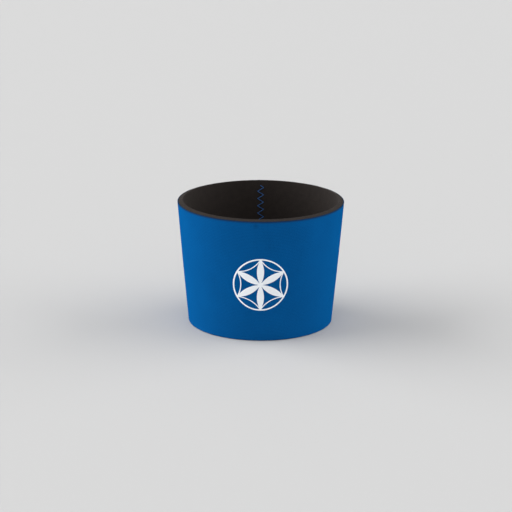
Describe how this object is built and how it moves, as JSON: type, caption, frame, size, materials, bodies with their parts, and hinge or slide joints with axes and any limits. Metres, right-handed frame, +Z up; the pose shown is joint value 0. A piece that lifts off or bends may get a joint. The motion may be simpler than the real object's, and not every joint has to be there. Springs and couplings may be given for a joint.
{
  "type": "coffee cup sleeve",
  "caption": "Open tapered sleeve of soft foam with a knitted fabric face, stitched up the back, that slips round a takeaway cup to keep the hand from the heat.",
  "frame": {"origin": "centre of the lower edge, on the floor that it stands on", "axes": "+Z up along the sleeve's axis towards its wide end, -Y out of the printed front, +Y out of the stitched back"},
  "size_m": [0.093, 0.0933, 0.0699],
  "materials": {
    "foam": "matt closed-cell foam, dark warm grey",
    "knit": "matt fine jersey knit, mid blue",
    "thread": "spun polyester sewing thread, blue",
    "ink": "white screen-printed ink"
  },
  "bodies": {
    "root": {"foam_wall": "foam", "knit_face": "knit", "seam_thread_outside": "thread", "seam_thread_inside": "thread", "front_print": "ink"}
  },
  "joints": []
}
